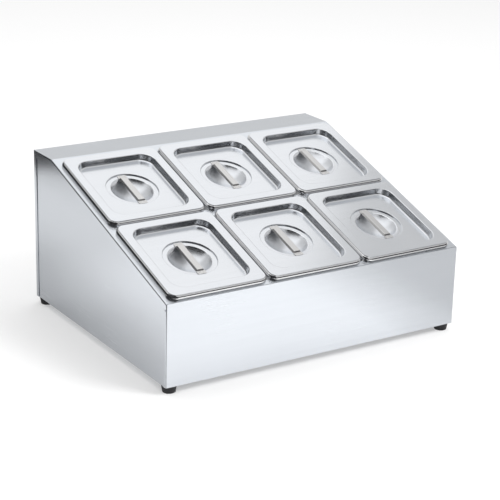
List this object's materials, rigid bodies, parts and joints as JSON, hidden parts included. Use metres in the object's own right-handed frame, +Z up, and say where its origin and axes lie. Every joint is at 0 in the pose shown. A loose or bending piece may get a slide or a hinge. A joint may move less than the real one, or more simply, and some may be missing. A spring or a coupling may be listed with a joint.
{
  "type": "gastronorm pan holder",
  "caption": "Sloped stainless countertop stand that holds small gastronorm pans in two rows, each under a loose lid with a recessed strap handle.",
  "frame": {"origin": "centre of the footprint on the bench, under the feet", "axes": "+X to the right along the front, +Y from the front panel to the rear panel, +Z up"},
  "size_m": [0.508, 0.4158, 0.2531],
  "materials": {
    "stand_steel": "satin, fine straight grain",
    "pan_steel": "bright drawn rim",
    "lid_steel": "satin pressed sheet",
    "handle_steel": "satin pressed strap",
    "fastener_steel": "plated",
    "foot_rubber": "matt moulded"
  },
  "bodies": {
    "stand": {"deck": "stand_steel", "front_panel": "stand_steel", "rear_panel": "stand_steel", "side_panel_left": "stand_steel", "side_panel_right": "stand_steel", "cross_bar": "stand_steel", "foot_front_left": "foot_rubber", "foot_front_right": "foot_rubber", "foot_rear_left": "foot_rubber", "foot_rear_right": "foot_rubber", "foot_screws": "fastener_steel", "foot_washers": "fastener_steel", "foot_nuts": "fastener_steel"},
    "pan_front_left": {"pan_front_left": "pan_steel"},
    "lid_front_left": {"lid_front_left": "lid_steel", "handle_front_left": "handle_steel"},
    "pan_front_middle": {"pan_front_middle": "pan_steel"},
    "lid_front_middle": {"lid_front_middle": "lid_steel", "handle_front_middle": "handle_steel"},
    "pan_front_right": {"pan_front_right": "pan_steel"},
    "lid_front_right": {"lid_front_right": "lid_steel", "handle_front_right": "handle_steel"},
    "pan_rear_left": {"pan_rear_left": "pan_steel"},
    "lid_rear_left": {"lid_rear_left": "lid_steel", "handle_rear_left": "handle_steel"},
    "pan_rear_middle": {"pan_rear_middle": "pan_steel"},
    "lid_rear_middle": {"lid_rear_middle": "lid_steel", "handle_rear_middle": "handle_steel"},
    "pan_rear_right": {"pan_rear_right": "pan_steel"},
    "lid_rear_right": {"lid_rear_right": "lid_steel", "handle_rear_right": "handle_steel"}
  },
  "joints": [
    {"name": "pan_front_left_lift", "type": "slide", "parent": "stand", "child": "pan_front_left", "axis": [0, -0.309, 0.9511], "range_m": [0, 0.14]},
    {"name": "lid_front_left_lift", "type": "slide", "parent": "pan_front_left", "child": "lid_front_left", "axis": [0, -0.309, 0.9511], "range_m": [0, 0.06]},
    {"name": "pan_front_middle_lift", "type": "slide", "parent": "stand", "child": "pan_front_middle", "axis": [0, -0.309, 0.9511], "range_m": [0, 0.14]},
    {"name": "lid_front_middle_lift", "type": "slide", "parent": "pan_front_middle", "child": "lid_front_middle", "axis": [0, -0.309, 0.9511], "range_m": [0, 0.06]},
    {"name": "pan_front_right_lift", "type": "slide", "parent": "stand", "child": "pan_front_right", "axis": [0, -0.309, 0.9511], "range_m": [0, 0.14]},
    {"name": "lid_front_right_lift", "type": "slide", "parent": "pan_front_right", "child": "lid_front_right", "axis": [0, -0.309, 0.9511], "range_m": [0, 0.06]},
    {"name": "pan_rear_left_lift", "type": "slide", "parent": "stand", "child": "pan_rear_left", "axis": [0, -0.309, 0.9511], "range_m": [0, 0.14]},
    {"name": "lid_rear_left_lift", "type": "slide", "parent": "pan_rear_left", "child": "lid_rear_left", "axis": [0, -0.309, 0.9511], "range_m": [0, 0.06]},
    {"name": "pan_rear_middle_lift", "type": "slide", "parent": "stand", "child": "pan_rear_middle", "axis": [0, -0.309, 0.9511], "range_m": [0, 0.14]},
    {"name": "lid_rear_middle_lift", "type": "slide", "parent": "pan_rear_middle", "child": "lid_rear_middle", "axis": [0, -0.309, 0.9511], "range_m": [0, 0.06]},
    {"name": "pan_rear_right_lift", "type": "slide", "parent": "stand", "child": "pan_rear_right", "axis": [0, -0.309, 0.9511], "range_m": [0, 0.14]},
    {"name": "lid_rear_right_lift", "type": "slide", "parent": "pan_rear_right", "child": "lid_rear_right", "axis": [0, -0.309, 0.9511], "range_m": [0, 0.06]}
  ]
}
